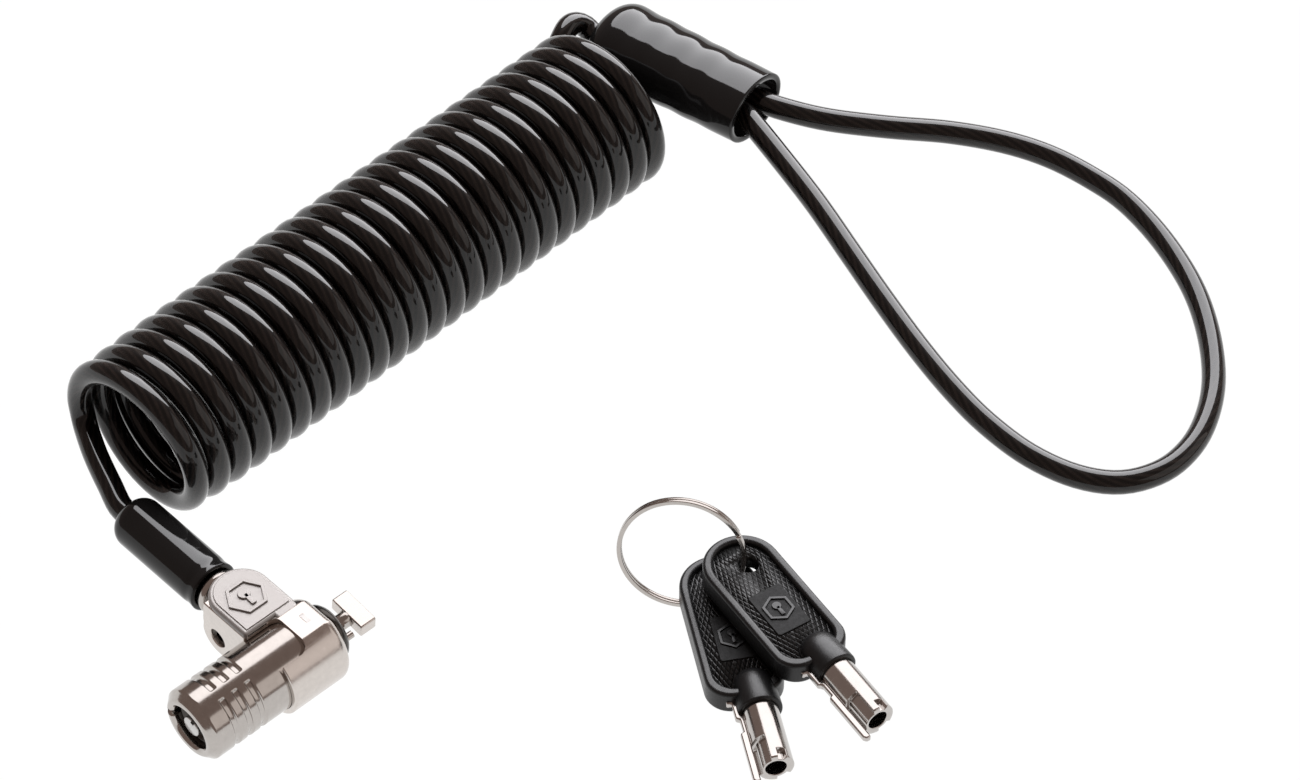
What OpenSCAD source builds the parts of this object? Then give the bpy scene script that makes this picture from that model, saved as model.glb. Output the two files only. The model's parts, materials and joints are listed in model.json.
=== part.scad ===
// Laptop cable lock: keyed lock head, hinged cable bracket, self-coiling steel cable with a
// crimped anchor loop, and two tubular keys on a split ring.
// Origin: the nose face that meets the laptop, on the barrel's axis. +X points into the
// laptop's security slot, +Y from the lock head towards the cable, +Z up. Millimetres.

/* [Lock barrel] */
// Radius of the lock barrel
barrel_r = 6.05; // [5.9:0.05:6.05]
// Length from the key face to the nose face
head_l = 28.2; // [28:0.1:29]
// Chamfer round the key face
face_chamfer = 0.9; // [0.6:0.1:1.1]
// Number of grip grooves in each set
grooves = 3; // [2:1:3]
// Distance between grip grooves
groove_pitch = 2.45; // [2.3:0.05:2.5]
// Width of a grip groove
groove_w = 1.1; // [0.8:0.05:1.2]
// Depth of a grip groove
groove_depth = 0.4; // [0.3:0.05:0.5]

/* [Key way] */
// Outer radius of the ring-shaped key way
keyway_r = 3.15; // [3.1:0.01:3.2]
// Radius of the centre post
post_r = 1.7; // [1.6:0.05:1.75]
// Radius of the bevel at the mouth of the key way
mouth_r = 3.9; // [3.7:0.1:4.2]

/* [Tumblers] */
// Number of tumbler pins round the post
tumblers = 7; // [5:1:7]
// Radius of a tumbler pin
tumbler_r = 0.5; // [0.45:0.01:0.52]
// Radius of the circle that the pins stand on
tumbler_pcr = 2.42; // [2.4:0.01:2.45]
// Travel of the pins when a key pushes them
tumbler_travel = 1.5; // [1:0.1:1.6]

/* [T bar] */
// Length of the T head, across the slot
t_len = 6.8; // [6.4:0.1:6.9]
// Height of the T head
t_high = 2.7; // [2.5:0.1:2.9]
// Thickness of the T head
t_thick = 2.9; // [2.2:0.1:3]
// Gap between the nose face and the T head
t_gap = 2.6; // [2.4:0.1:3]
// Radius of the stem
stem_r = 1.3; // [1.2:0.05:1.35]

/* [Bracket] */
// Outer radius of the collar, which rests on the table
collar_r = 7; // [6.9:0.05:7.2]
// Width of the D-shaped plate
plate_w = 9.8; // [9.4:0.2:10.2]
// Thickness of the plate
plate_t = 1.5; // [1.3:0.1:1.6]
// Length of the plate in front of the barrel
plate_l = 11.8; // [11:0.2:12.4]
// Radius of the hinge pin
pin_r = 1.6; // [1.4:0.05:1.7]

/* [Cable] */
// Diameter of the sheathed cable
cable_d = 3.8; // [3.6:0.1:3.8]
// Mean radius of the coil
coil_r = 12.6; // [12.2:0.1:12.6]
// Distance from turn to turn
coil_pitch = 4.21; // [4:0.01:4.3]
// Number of turns
coil_turns = 25; // [24:1:25]
// Length of the moulded sleeve at the lock
lock_sleeve_l = 20.2; // [18:0.2:21]
// Radius of the moulded sleeve at the lock
lock_sleeve_r = 4.25; // [4:0.05:4.4]
// Width of the sleeve at the loop
loop_sleeve_w = 15.4; // [14.4:0.2:16]
// Height of the sleeve at the loop
loop_sleeve_h = 12.4; // [11.4:0.2:12.8]

/* [Keys] */
// Width of a key's head
key_w = 12.2; // [11.8:0.2:12.6]
// Thickness of a key's head
key_t = 4.2; // [4:0.1:4.2]
// Distance from the ring hole to the end of the head
key_head_l = 21.6; // [21:0.2:22]
// Distance from the ring hole to the end of the socket round the tube
key_body_l = 23.8; // [23:0.2:24]
// Outer radius of a key's tube
key_tube_r = 2.8; // [2.7:0.05:2.85]
// Inner radius of a key's tube
key_bore_r = 1.6; // [1.5:0.05:1.7]
// Length of the tube outside the head
key_tube_l = 10.8; // [10:0.2:12]
// Radius of the split ring, at the middle of its wire
ring_r = 9.6; // [9.4:0.1:9.8]

/* [Hidden] */
$fn = 64;
eps = 0.02;             // how far one solid reaches into another when they are fused
running = 0.06;         // clearance between turning pieces
quarter = 90;
fine_fn = 32;
tiny_fn = 20;

// Stations along the barrel, negative towards the key face
face_x = -head_l;
lip_x = face_x + 1.6;
core_back_x = face_x + 13.2;
housing_back_x = core_back_x + 8;
barrel_back_x = -1.7;
cavity_r = 4.7;
shear_gap = 0.05;
core_front_x = lip_x + shear_gap;
pin_front_x = core_back_x - 4;
driver_back_x = core_back_x + 3.4;
spring_back_x = driver_back_x + 3;
pin_step = 45;
pin_angles = [for (i = [0 : tumblers - 1]) pin_step * (i + 1)];
housing_angles = [for (i = [0 : 7]) pin_step * i];
pin_hole_r = tumbler_r + running;
spring_r = 0.45;
spring_wire = 0.18;
spindle_r = 1.3;
notch_w = 1.5;
notch_r = 4.6;
notch_turn = -90;
groove_front_x = face_x + 4.15;
groove_sets = [100, 280];
groove_span = 150;
clip_x = -5.5;
clip_w = 0.8;
clip_in_r = 5.5;
clip_out_r = 6.5;
clip_gap = 0.12;

// T bar and nose
nose_r = 4.9;
nose_edge = 0.9;
nose_back_x = barrel_back_x + 0.3;
t_start_x = t_gap;
t_end_x = t_gap + t_thick;
anti_pin_r = 0.6;
anti_pin_y = 2.9;
anti_pin_x = 1.2;
anti_pin_l = 2.5;
joint_x = -4;
drive_r = 0.5;

// Bracket
collar_front_x = -13.3;
collar_back_x = -1.3;
collar_edge = 1.7;
collar_bore_r = barrel_r + running;
window_back_x = -8;
window_y = [-4.4, 3.6];
window_corner = 1.6;
plate_x = -8.8;
plate_top_z = 6.6;
plate_y = 3.6;
plate_round_y = plate_y + plate_l - plate_w / 2;
pin_y = 10.9;
pin_z = -0.8;
lug_t = 1.9;
lug_r = 3.4;
lug_x = [plate_x - plate_w / 2, plate_x + plate_w / 2 - lug_t];
badge_t = 0.35;
badge_r = 3.5;
badge_line = 0.55;
badge_y = plate_round_y - 1.4;

// Cable eye, ferrule and sleeve at the lock
eye_w = plate_w - 2 * lug_t - 2 * 0.15;
eye_r = 3.1;
shank_r = 2.9;
ferrule_r = 3.7;
shank_z = 1.5;          // the cable leaves above the hinge pin
ferrule_y = [15.6, 17.6];
sleeve_y = ferrule_y[1];
sleeve_end_y = sleeve_y + lock_sleeve_l;
shank_end_y = sleeve_y + 11;
cable_r = cable_d / 2;

// Table height and the coil's place
floor_z = -collar_r;
coil_start = [-1.7, 44.6];
coil_yaw = 2.8;
coil_out_r = coil_r + cable_r;
coil_z = floor_z + coil_out_r;
coil_l = coil_turns * coil_pitch;

// Routes of the free cable, from the lock to the loop
tail_route = [[plate_x, sleeve_end_y, shank_z], [-8.7, 40.5, 1.5], [-7.5, 44, 2], [-6.2, 48, 2.4],
              [-5, 51.2, 3], [-3.7, 54.3, 4.2], [-2.75, 56.4, 5.9], [-2.32, 57.2, 7.5]];
lead_route = [[102.8, 62.3, 7.5], [103.2, 62.4, 10], [104.5, 62.7, 12.1], [106.6, 63.5, 13],
              [108.8, 64.1, 12.3], [110.5, 63.5, 11], [111.3, 61.8, 10.1]];
loop_route = [[116.4, 30.5, 9.8], [114.8, 21, 8.1], [112.7, 10, 6.1], [110, -1, 4],
              [107.5, -11, 2.2], [105.3, -21, 0.4], [103.9, -30, -1.2], [103.4, -38, -2.5],
              [104.2, -46.5, -3.7], [107, -54, -4.7], [111.5, -59.5, -5.1], [118, -62.3, -5.1],
              [125, -62, -5.1], [132, -59.3, -5.1], [139, -54.5, -5], [145.5, -47.5, -4.4],
              [150.5, -39.5, -3.4], [153.8, -30, -2], [155, -21, -0.5], [154, -14, 0.8],
              [151.5, -6.5, 2.3], [147.5, 0.3, 3.6], [141.5, 7.2, 5], [134, 14, 6.4],
              [127, 21, 7.8], [122.5, 26.5, 9.2], [120.3, 30.9, 9.9]];
tube_sides = 8;

// Sleeve at the loop
loop_sleeve_start = [113.2, 61.2, 9.7];
loop_sleeve_yaw = -80.6;
loop_sleeve_pitch = 0.5;
loop_sleeve_l = 31.7;
loop_sleeve_wall = 1.2;
loop_crimp_l = 24;
cable_side = 2;

// Keys: the ring hole's place at the middle of the head's thickness, and the turn from +X
key_a_hole = [49.7, -33.8, -3.4];
key_a_yaw = -122;
key_b_hole = [52.7, -35.5, 0.85];
key_b_yaw = -101;
key_hole_r = 2.15;
key_side = 1.1;
key_end_w = 3.8;
key_recess = 1.1;
key_notch_r = 1.9;      // height where the tube's tip is cut down
key_rim = 1.3;
key_boss_r = 3.55;
key_boss_l = 6;
key_corner = 3.4;
badge_x = 5.6;
blade_t = 1.2;
blade_y = 2.7;
ring_centre = [46.4, -27.4, 3.1];
ring_tilt = 77;
ring_yaw = 218;
ring_wire_w = 0.7;
ring_wire_h = 1.1;
ring_seam = 0.2;

// ---- shared shapes ----
module along_x(x0, x1, r) translate([x0, 0, 0]) rotate([0, quarter, 0]) cylinder(h = x1 - x0, r = r);
module along_y(y0, y1, r) translate([0, y0, 0]) rotate([-quarter, 0, 0]) cylinder(h = y1 - y0, r = r);

// Turned shape about X from an outline of [distance, radius] points
module turned_x(outline) rotate([0, quarter, 0]) rotate_extrude() polygon([for (p = outline) [p[1], p[0]]]);

// Points of a quarter round edge from angle a0 to a1 about a centre
function arc(cx, cr, r, a0, a1, n = 6) = [for (i = [0 : n]) let (a = a0 + (a1 - a0) * i / n)
    [cx + r * cos(a), cr + r * sin(a)]];

// Rounded rectangle from plain shapes
module rounded_rect(size, r) {
    translate([r, 0]) square([size[0] - 2 * r, size[1]]);
    translate([0, r]) square([size[0], size[1] - 2 * r]);
    for (x = [r, size[0] - r], y = [r, size[1] - r]) translate([x, y]) circle(r, $fn = fine_fn);
}

// Oval outline, w across and h high
module oval(w, h) {
    square([w - h, h], center = true);
    for (s = [-1, 1]) translate([s * (w - h) / 2, 0]) circle(h / 2);
}

function unit(v) = v / norm(v);
function catmull(p0, p1, p2, p3, t) = 0.5 * (2 * p1 + (p2 - p0) * t
    + (2 * p0 - 5 * p1 + 4 * p2 - p3) * t * t + (3 * p1 - p0 - 3 * p2 + p3) * t * t * t);
// A smooth route through the points, with n steps from each one to the next
function smooth_route(p, n) = [for (i = [0 : len(p) - 2], k = [0 : n - 1])
    catmull(p[max(i - 1, 0)], p[i], p[i + 1], p[min(i + 2, len(p) - 1)], k / n), p[len(p) - 1]];
function heading(p, i) = unit(p[min(i + 1, len(p) - 1)] - p[max(i - 1, 0)]);
// A tube swept along a route, with its sides kept square to one direction
module tube(route, r, level = [0, 0, 1]) {
    sides = tube_sides;
    last = len(route) - 1;
    points = [for (i = [0 : last])
        let (t = heading(route, i),
             u = unit(cross(t, level)),
             v = cross(t, u))
        for (k = [0 : sides - 1]) route[i] + r * cos(360 * (k + 0.5) / sides) * u
                                           + r * sin(360 * (k + 0.5) / sides) * v];
    walls = [for (i = [0 : last - 1], k = [0 : sides - 1], w = [0, 1]) let (n = (k + 1) % sides)
        w == 0 ? [i * sides + k, i * sides + n, (i + 1) * sides + n]
               : [i * sides + k, (i + 1) * sides + n, (i + 1) * sides + k]];
    polyhedron(points, concat([[for (k = [sides - 1 : -1 : 0]) k]], walls,
        [[for (k = [0 : sides - 1]) last * sides + k]]), convexity = 10);
}

// ---- lock barrel ----
module groove(x, mid_angle) {
    half = groove_span / 2;
    depth_r = barrel_r - groove_depth;
    translate([x, 0, 0]) rotate([mid_angle, 0, 0]) rotate([0, quarter, 0])
        rotate([0, 0, -half]) rotate_extrude(angle = groove_span)
            translate([depth_r, 0]) square([2 * groove_depth, groove_w]);
}

module lock_barrel() color("silver") difference() {
    turned_x([[face_x, mouth_r], [face_x, barrel_r - face_chamfer],
              [face_x + face_chamfer, barrel_r], [barrel_back_x, barrel_r],
              [barrel_back_x, cavity_r], [lip_x, cavity_r], [lip_x, keyway_r],
              [face_x + mouth_r - keyway_r, keyway_r]]);
    for (a = groove_sets, i = [0 : grooves - 1]) groove(groove_front_x + groove_pitch * i, a);
    rotate([notch_turn, 0, 0]) translate([face_x - eps, -notch_w / 2, 0])
        cube([lip_x - face_x + 2 * eps, notch_w, notch_r]);
    difference() {
        along_x(clip_x - clip_gap, clip_x + clip_w + clip_gap, barrel_r + 1);
        along_x(clip_x - 1, clip_x + clip_w + 1, clip_in_r);
    }
}

module lock_core() color("dimgray") difference() {
    along_x(core_front_x, core_back_x, cavity_r - running);
    difference() {
        along_x(core_front_x - eps, pin_front_x, keyway_r);
        along_x(core_front_x - 1, pin_front_x + 1, post_r);
    }
    rotate([notch_turn, 0, 0]) translate([core_front_x - eps, -notch_w / 2, post_r])
        cube([3.5, notch_w, notch_r - post_r - 0.3]);
    along_x(core_front_x - eps, core_front_x + 1.2, 0.45);
    for (a = pin_angles) rotate([a + notch_turn, 0, 0]) translate([0, 0, tumbler_pcr])
        along_x(pin_front_x - 1, core_back_x + 1, pin_hole_r);
    along_x(core_back_x - 3, core_back_x + 1, spindle_r);
}

module pin_rods(x0, x1, r) for (a = pin_angles) rotate([a + notch_turn, 0, 0])
    translate([0, 0, tumbler_pcr]) along_x(x0, x1, r);

module key_pins() color("gold") pin_rods(pin_front_x - 1.6, core_back_x, tumbler_r);

module driver_pins() color("lightgray") pin_rods(core_back_x + shear_gap, driver_back_x, tumbler_r);

module pin_springs() color("gray") difference() {
    pin_rods(driver_back_x, spring_back_x, spring_r);
    pin_rods(driver_back_x - 1, spring_back_x + 1, spring_r - spring_wire);
}

module pin_housing() color("darkgoldenrod") difference() {
    along_x(core_back_x + shear_gap, housing_back_x, cavity_r);
    along_x(core_back_x - 1, housing_back_x + 1, spindle_r + running);
    for (a = housing_angles) rotate([a + notch_turn, 0, 0]) translate([0, 0, tumbler_pcr])
        along_x(core_back_x - 1, spring_back_x, pin_hole_r);
}

module spindle() color("lightslategray") difference() {
    along_x(core_back_x - 3, joint_x + 2, spindle_r);
    translate([joint_x, 0, 0]) cylinder(h = 4, r = drive_r, center = true, $fn = fine_fn);
    along_x(joint_x + 1 - eps, joint_x + 3, spindle_r * 0.6);
}

module drive_pin() color("gray") translate([joint_x, 0, 0])
    cylinder(h = 2 * spindle_r, r = drive_r, center = true, $fn = fine_fn);

module t_bar() color("silver") {
    along_x(joint_x + 1, joint_x + 2.4, spindle_r * 0.6);
    along_x(joint_x + 2, t_start_x + eps, stem_r);
    translate([t_start_x, 0, 0]) rotate([quarter, 0, quarter]) linear_extrude(t_thick)
        translate([-t_len / 2, -t_high / 2]) rounded_rect([t_len, t_high], 0.35);
}

module nose_cap() color("dimgray") difference() {
    turned_x(concat([[housing_back_x, stem_r + running], [housing_back_x, cavity_r],
        [nose_back_x, cavity_r], [nose_back_x, nose_r]],
        arc(-nose_edge, nose_r - nose_edge, nose_edge, quarter, 0), [[0, stem_r + running]]));
    for (s = [-1, 1]) translate([0, s * anti_pin_y, 0])
        along_x(anti_pin_x - anti_pin_l, 1, anti_pin_r);
}

module anti_rotation_pins() color("lightgray") for (s = [-1, 1]) translate([0, s * anti_pin_y, 0])
    along_x(anti_pin_x - anti_pin_l, anti_pin_x, anti_pin_r);

module retaining_ring() color("gray") difference() {
    along_x(clip_x, clip_x + clip_w, clip_out_r);
    along_x(clip_x - 1, clip_x + 2, clip_in_r);
    translate([clip_x - 1, -0.8, -clip_out_r - 1]) cube([3, 1.6, 4]);
}

// ---- bracket ----
module collar() turned_x(concat([[collar_front_x, collar_bore_r], [collar_front_x, collar_r - 0.2],
    [collar_front_x + 0.2, collar_r]],
    arc(collar_back_x - collar_edge, collar_r - collar_edge, collar_edge, quarter, 20),
    [[collar_back_x, collar_bore_r]]));

module plate_outline() {
    translate([plate_x - plate_w / 2, plate_y]) square([plate_w, plate_round_y - plate_y]);
    translate([plate_x, plate_round_y]) circle(plate_w / 2);
}

module lug(x) {
    translate([x, pin_y, pin_z]) rotate([0, quarter, 0]) cylinder(h = lug_t, r = lug_r);
    translate([x, pin_y - lug_r, pin_z]) cube([lug_t, 2 * lug_r, plate_top_z - plate_t - pin_z + eps]);
    translate([x, 4, pin_z - lug_r]) cube([lug_t, pin_y - 4, 5]);
}

module collar_bracket() color("silver") difference() {
    union() {
        collar();
        translate([0, 0, plate_top_z - plate_t]) linear_extrude(plate_t) plate_outline();
        for (x = lug_x) lug(x);
        translate([window_back_x, -1.5, plate_top_z - plate_t - 1.6])
            cube([4, plate_y + 2, plate_t + 1.6]);
        translate([lug_x[0], plate_y - 0.4, -1]) cube([plate_w, 1.6, plate_top_z - plate_t + 1]);
    }
    along_x(collar_front_x - 3, collar_back_x + 1, collar_bore_r);
    translate([collar_front_x - 1, window_y[0], 0]) linear_extrude(20)
        translate([-window_corner, 0]) rounded_rect([window_back_x - collar_front_x + 1 + window_corner,
            window_y[1] - window_y[0]], window_corner);
    for (x = [lug_x[0] - 1]) translate([x, pin_y, pin_z]) rotate([0, quarter, 0])
        cylinder(h = plate_w + 2, r = pin_r);
    translate([lug_x[0] + lug_t, plate_y + 1.2, -8]) cube([plate_w - 2 * lug_t, 15, 8 + plate_top_z - plate_t]);
    difference() {
        along_x(clip_x - clip_gap, clip_x + clip_w + clip_gap, clip_out_r + clip_gap);
        along_x(clip_x - 1, clip_x + 2, collar_bore_r);
    }
}

module emblem_plate() color("gainsboro") translate([plate_x, badge_y, plate_top_z]) linear_extrude(badge_t) {
    difference() {
        circle(badge_r, $fn = 6);
        circle(badge_r - badge_line, $fn = 6);
    }
    translate([0, 0.7]) circle(1.05, $fn = fine_fn);
    translate([-0.45, -1.9]) square([0.9, 2.2]);
}

module hinge_pin() color("gray") difference() {
    translate([lug_x[0] + 0.6, pin_y, pin_z]) rotate([0, quarter, 0]) cylinder(h = plate_w - 1.2, r = pin_r);
    translate([lug_x[0], pin_y, pin_z]) rotate([0, quarter, 0]) cylinder(h = 2.2, r = 0.9, $fn = fine_fn);
}

// ---- cable end at the lock ----
module cable_eye() color("lightgray") difference() {
    union() {
        translate([plate_x - eye_w / 2, pin_y, pin_z]) rotate([0, quarter, 0]) cylinder(h = eye_w, r = eye_r);
        translate([plate_x, 0, shank_z]) along_y(pin_y + 1, shank_end_y, shank_r);
    }
    translate([plate_x - eye_w, pin_y, pin_z]) rotate([0, quarter, 0])
        cylinder(h = 2 * eye_w, r = pin_r + running);
    translate([plate_x, 0, shank_z]) along_y(sleeve_y + 1, shank_end_y + 1, cable_r);
    for (s = [-1, 1]) translate([plate_x + s * (eye_w / 2 + 2), pin_y, pin_z])
        cube([4, 9, 12], center = true);
}

module eye_ferrule() color("silver") translate([plate_x, 0, shank_z]) difference() {
    along_y(ferrule_y[0], ferrule_y[1], ferrule_r);
    along_y(ferrule_y[0] - 1, ferrule_y[1] + 1, shank_r);
}

module lock_sleeve() color("#1b1b1c") translate([plate_x, 0, shank_z]) difference() {
    translate([0, sleeve_y, 0]) rotate([-quarter, 0, 0]) rotate_extrude() polygon(concat(
        [[0, 0], [lock_sleeve_r - 0.3, 0], [lock_sleeve_r, 0.3]],
        [for (i = [0 : 8]) let (a = quarter * i / 8) [lock_sleeve_r - 2.2 + 2.2 * cos(a),
            lock_sleeve_l - 2.2 + 2.2 * sin(a)]], [[0, lock_sleeve_l]]));
    along_y(sleeve_y - 1, shank_end_y, shank_r);
    along_y(shank_end_y - 1, sleeve_end_y + 1, cable_r);
}

// ---- cable ----
module cable_tail() color("#201d1c") tube(concat([[plate_x, sleeve_y + 1, shank_z]],
    smooth_route(tail_route, 2)), cable_r, [1, 0, 0]);

module coil_place() translate([coil_start[0], coil_start[1], coil_z]) rotate([0, 0, coil_yaw]) children();

module cable_coil() color("#201d1c") coil_place() along_x(-cable_r, coil_l + cable_r, coil_out_r);

module cable_lead() color("#201d1c") tube(smooth_route(lead_route, 1), cable_r, [1, 0, 0]);

module loop_place() translate(loop_sleeve_start) rotate([0, 0, loop_sleeve_yaw - quarter])
    rotate([loop_sleeve_pitch, 0, 0]) rotate([-quarter, 0, 0]) children();

module loop_sleeve() color("#1b1b1c") loop_place() difference() {
    linear_extrude(loop_sleeve_l) oval(loop_sleeve_w, loop_sleeve_h);
    translate([0, 0, loop_sleeve_wall + 1]) linear_extrude(loop_sleeve_l)
        oval(loop_sleeve_w - 2 * loop_sleeve_wall, loop_sleeve_h - 2 * loop_sleeve_wall);
    for (s = [-1, 1]) translate([s * cable_side, 0, -1]) cylinder(h = 5, r = cable_r);
}

module loop_crimp() color("silver") loop_place() difference() {
    translate([0, 0, loop_sleeve_wall + 1]) linear_extrude(loop_crimp_l)
        oval(loop_sleeve_w - 2 * loop_sleeve_wall, loop_sleeve_h - 2 * loop_sleeve_wall);
    for (s = [-1, 1]) translate([s * cable_side, 0, 0]) cylinder(h = loop_crimp_l + 3, r = cable_r);
}

module cable_loop() color("#201d1c") tube(smooth_route(loop_route, 2), cable_r);

// ---- keys ----
module split_ring() color("silver") translate(ring_centre) rotate([0, ring_tilt, ring_yaw])
    rotate_extrude() translate([ring_r, 0]) difference() {
        square([ring_wire_w, ring_wire_h], center = true);
        for (p = [-1, 1]) translate([p * ring_wire_w / 2, 0]) square([ring_seam, ring_seam], center = true);
    }

// A key lies along its own +X, with the ring hole at its origin
module key_place(hole, yaw) translate(hole) rotate([0, 0, yaw]) children();

module key_outline(inset) translate([0, key_side]) {
    r = key_w / 2 - inset;
    circle(r);
    polygon([[0, -r], [key_head_l - key_corner, -r], [key_head_l - inset, inset - key_end_w],
             [key_head_l - inset, key_end_w - inset], [key_head_l - key_corner, r], [0, r]]);
}

module key_head() difference() {
    union() {
        difference() {
            translate([0, 0, -key_t / 2]) linear_extrude(key_t) key_outline(0);
            for (s = [0, 1]) mirror([0, 0, s]) translate([0, 0, key_t / 2 - key_recess])
                linear_extrude(key_t) difference() {
                    key_outline(key_rim);
                    translate([badge_x, key_side - 2.9]) rounded_rect([8.6, 5.8], 0.6);
                }
        }
        along_x(key_body_l - key_boss_l, key_body_l, key_boss_r);
    }
    translate([0, 0, -key_t]) cylinder(h = 2 * key_t, r = key_hole_r);
    along_x(key_body_l - key_boss_l - 2, key_body_l + 1, key_tube_r);
    translate([0, 0, -blade_t / 2]) linear_extrude(blade_t) blade_root();
}

module key_tube() difference() {
    along_x(key_body_l - key_boss_l - 2, key_body_l + key_tube_l, key_tube_r);
    along_x(key_body_l - key_boss_l - 3, key_body_l + key_tube_l + 1, key_bore_r);
    translate([key_body_l + key_tube_l - 4.6, 0.2, key_notch_r]) cube([5, 4, 4]);
    translate([key_body_l + key_tube_l - 1.6, -4, 1.2]) cube([2, 1.8, 2]);
}

module blade_root() translate([key_head_l - 6, blade_y]) square([7, 2]);

// The flat blade beside the tube: a shoulder at the head, a step, and a nib at the tip
module key_blade() translate([0, 0, -blade_t / 2]) linear_extrude(blade_t) {
    translate([key_head_l, blade_y]) polygon([[-6, 0], [-6, 2], [0, 2], [0.4, 1.2], [3.1, 1.2], [3.5, 0.6],
        [5.9, 0.6], [5.9, 1.1], [14.8, 1.1], [15.2, 0.7], [15.2, 0]]);
}

module key_a_head() color("#242427") key_place(key_a_hole, key_a_yaw) mirror([0, 1, 0]) key_head();
module key_a_tube() color("silver") key_place(key_a_hole, key_a_yaw) mirror([0, 1, 0]) key_tube();
module key_a_blade() color("silver") key_place(key_a_hole, key_a_yaw) mirror([0, 1, 0]) key_blade();
module key_b_head() color("#242427") key_place(key_b_hole, key_b_yaw) mirror([0, 1, 0]) key_head();
module key_b_tube() color("silver") key_place(key_b_hole, key_b_yaw) mirror([0, 1, 0]) key_tube();
module key_b_blade() color("silver") key_place(key_b_hole, key_b_yaw) mirror([0, 1, 0]) key_blade();

lock_barrel();
lock_core();
key_pins();
driver_pins();
pin_springs();
pin_housing();
spindle();
t_bar();
drive_pin();
nose_cap();
anti_rotation_pins();
retaining_ring();
collar_bracket();
emblem_plate();
hinge_pin();
cable_eye();
eye_ferrule();
lock_sleeve();
cable_tail();
cable_coil();
cable_lead();
loop_sleeve();
loop_crimp();
cable_loop();
split_ring();
key_a_head();
key_a_tube();
key_a_blade();
key_b_head();
key_b_tube();
key_b_blade();
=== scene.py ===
"""Laptop cable lock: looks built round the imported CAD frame. Lengths below are in millimetres."""

import json
import math

import bmesh
import bpy
from mathutils import Matrix, Vector

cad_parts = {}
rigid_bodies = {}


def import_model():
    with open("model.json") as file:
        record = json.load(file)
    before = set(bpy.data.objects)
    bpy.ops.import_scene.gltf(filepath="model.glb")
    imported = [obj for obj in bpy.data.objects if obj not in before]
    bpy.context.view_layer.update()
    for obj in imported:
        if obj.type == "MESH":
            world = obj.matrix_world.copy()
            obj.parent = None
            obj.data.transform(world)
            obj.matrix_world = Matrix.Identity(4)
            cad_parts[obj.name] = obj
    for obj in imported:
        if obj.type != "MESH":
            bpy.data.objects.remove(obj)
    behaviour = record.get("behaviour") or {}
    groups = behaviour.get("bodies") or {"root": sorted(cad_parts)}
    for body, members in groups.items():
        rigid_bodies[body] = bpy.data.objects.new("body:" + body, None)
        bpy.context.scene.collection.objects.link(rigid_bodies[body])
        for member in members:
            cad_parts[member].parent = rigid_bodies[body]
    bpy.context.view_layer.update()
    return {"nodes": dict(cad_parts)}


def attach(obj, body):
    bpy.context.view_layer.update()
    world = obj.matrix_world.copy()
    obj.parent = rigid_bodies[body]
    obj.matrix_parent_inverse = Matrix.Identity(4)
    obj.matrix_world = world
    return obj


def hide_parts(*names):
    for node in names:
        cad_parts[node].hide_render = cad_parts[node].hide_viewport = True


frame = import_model()
MM = 0.001
TAU = 2 * math.pi
FLOOR = -7.0


# ---------------------------------------------------------------- materials
def node(tree, kind, **inputs):
    n = tree.nodes.new(kind)
    for key, value in inputs.items():
        n.inputs[key.replace("_", " ")].default_value = value
    return n


def material(name, base, rough=0.4, metal=0.0, coat=0.0, coat_rough=0.03, ior=1.5,
             vary=0.0, vary_scale=300, grain=None):
    """A Principled surface with soft variation in its roughness and colour, and fine grain in its bump.

    vary is the share by which roughness varies; grain is (noise scale, depth in millimetres, strength).
    """
    m = bpy.data.materials.new(name)
    m.use_nodes = True
    t = m.node_tree
    b = t.nodes["Principled BSDF"]
    b.inputs["Base Color"].default_value = (*base, 1)
    b.inputs["Metallic"].default_value = metal
    b.inputs["Roughness"].default_value = rough
    b.inputs["IOR"].default_value = ior
    b.inputs["Coat Weight"].default_value = coat
    b.inputs["Coat Roughness"].default_value = coat_rough
    where = t.nodes.new("ShaderNodeTexCoord")
    if vary:
        noise = node(t, "ShaderNodeTexNoise", Scale=vary_scale, Detail=6.0, Roughness=0.65)
        t.links.new(where.outputs["Object"], noise.inputs["Vector"])
        spread = node(t, "ShaderNodeMapRange")
        spread.inputs["To Min"].default_value = rough * (1 - vary)
        spread.inputs["To Max"].default_value = rough * (1 + vary)
        t.links.new(noise.outputs["Fac"], spread.inputs["Value"])
        t.links.new(spread.outputs["Result"], b.inputs["Roughness"])
        shift = 0.35 * vary
        tint = node(t, "ShaderNodeMix")
        tint.data_type = "RGBA"
        tint.inputs["A"].default_value = (*[c * (1 - shift) for c in base], 1)
        tint.inputs["B"].default_value = (*[min(1, c * (1 + shift)) for c in base], 1)
        t.links.new(noise.outputs["Fac"], tint.inputs["Factor"])
        t.links.new(tint.outputs["Result"], b.inputs["Base Color"])
    if grain:
        scale, depth, strength = grain
        fine = node(t, "ShaderNodeTexNoise", Scale=scale, Detail=3.0)
        t.links.new(where.outputs["Object"], fine.inputs["Vector"])
        bump = node(t, "ShaderNodeBump", Strength=strength, Distance=depth * MM)
        t.links.new(fine.outputs["Fac"], bump.inputs["Height"])
        t.links.new(bump.outputs["Normal"], b.inputs["Normal"])
    return m


def maths(t, what, a, b=None):
    """A Math node on numbers or on other nodes' outputs."""
    n = t.nodes.new("ShaderNodeMath")
    n.operation = what
    for i, v in enumerate((a, b)):
        if v is None:
            continue
        if isinstance(v, (int, float)):
            n.inputs[i].default_value = v
        else:
            t.links.new(v, n.inputs[i])
    return n.outputs[0]


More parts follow.
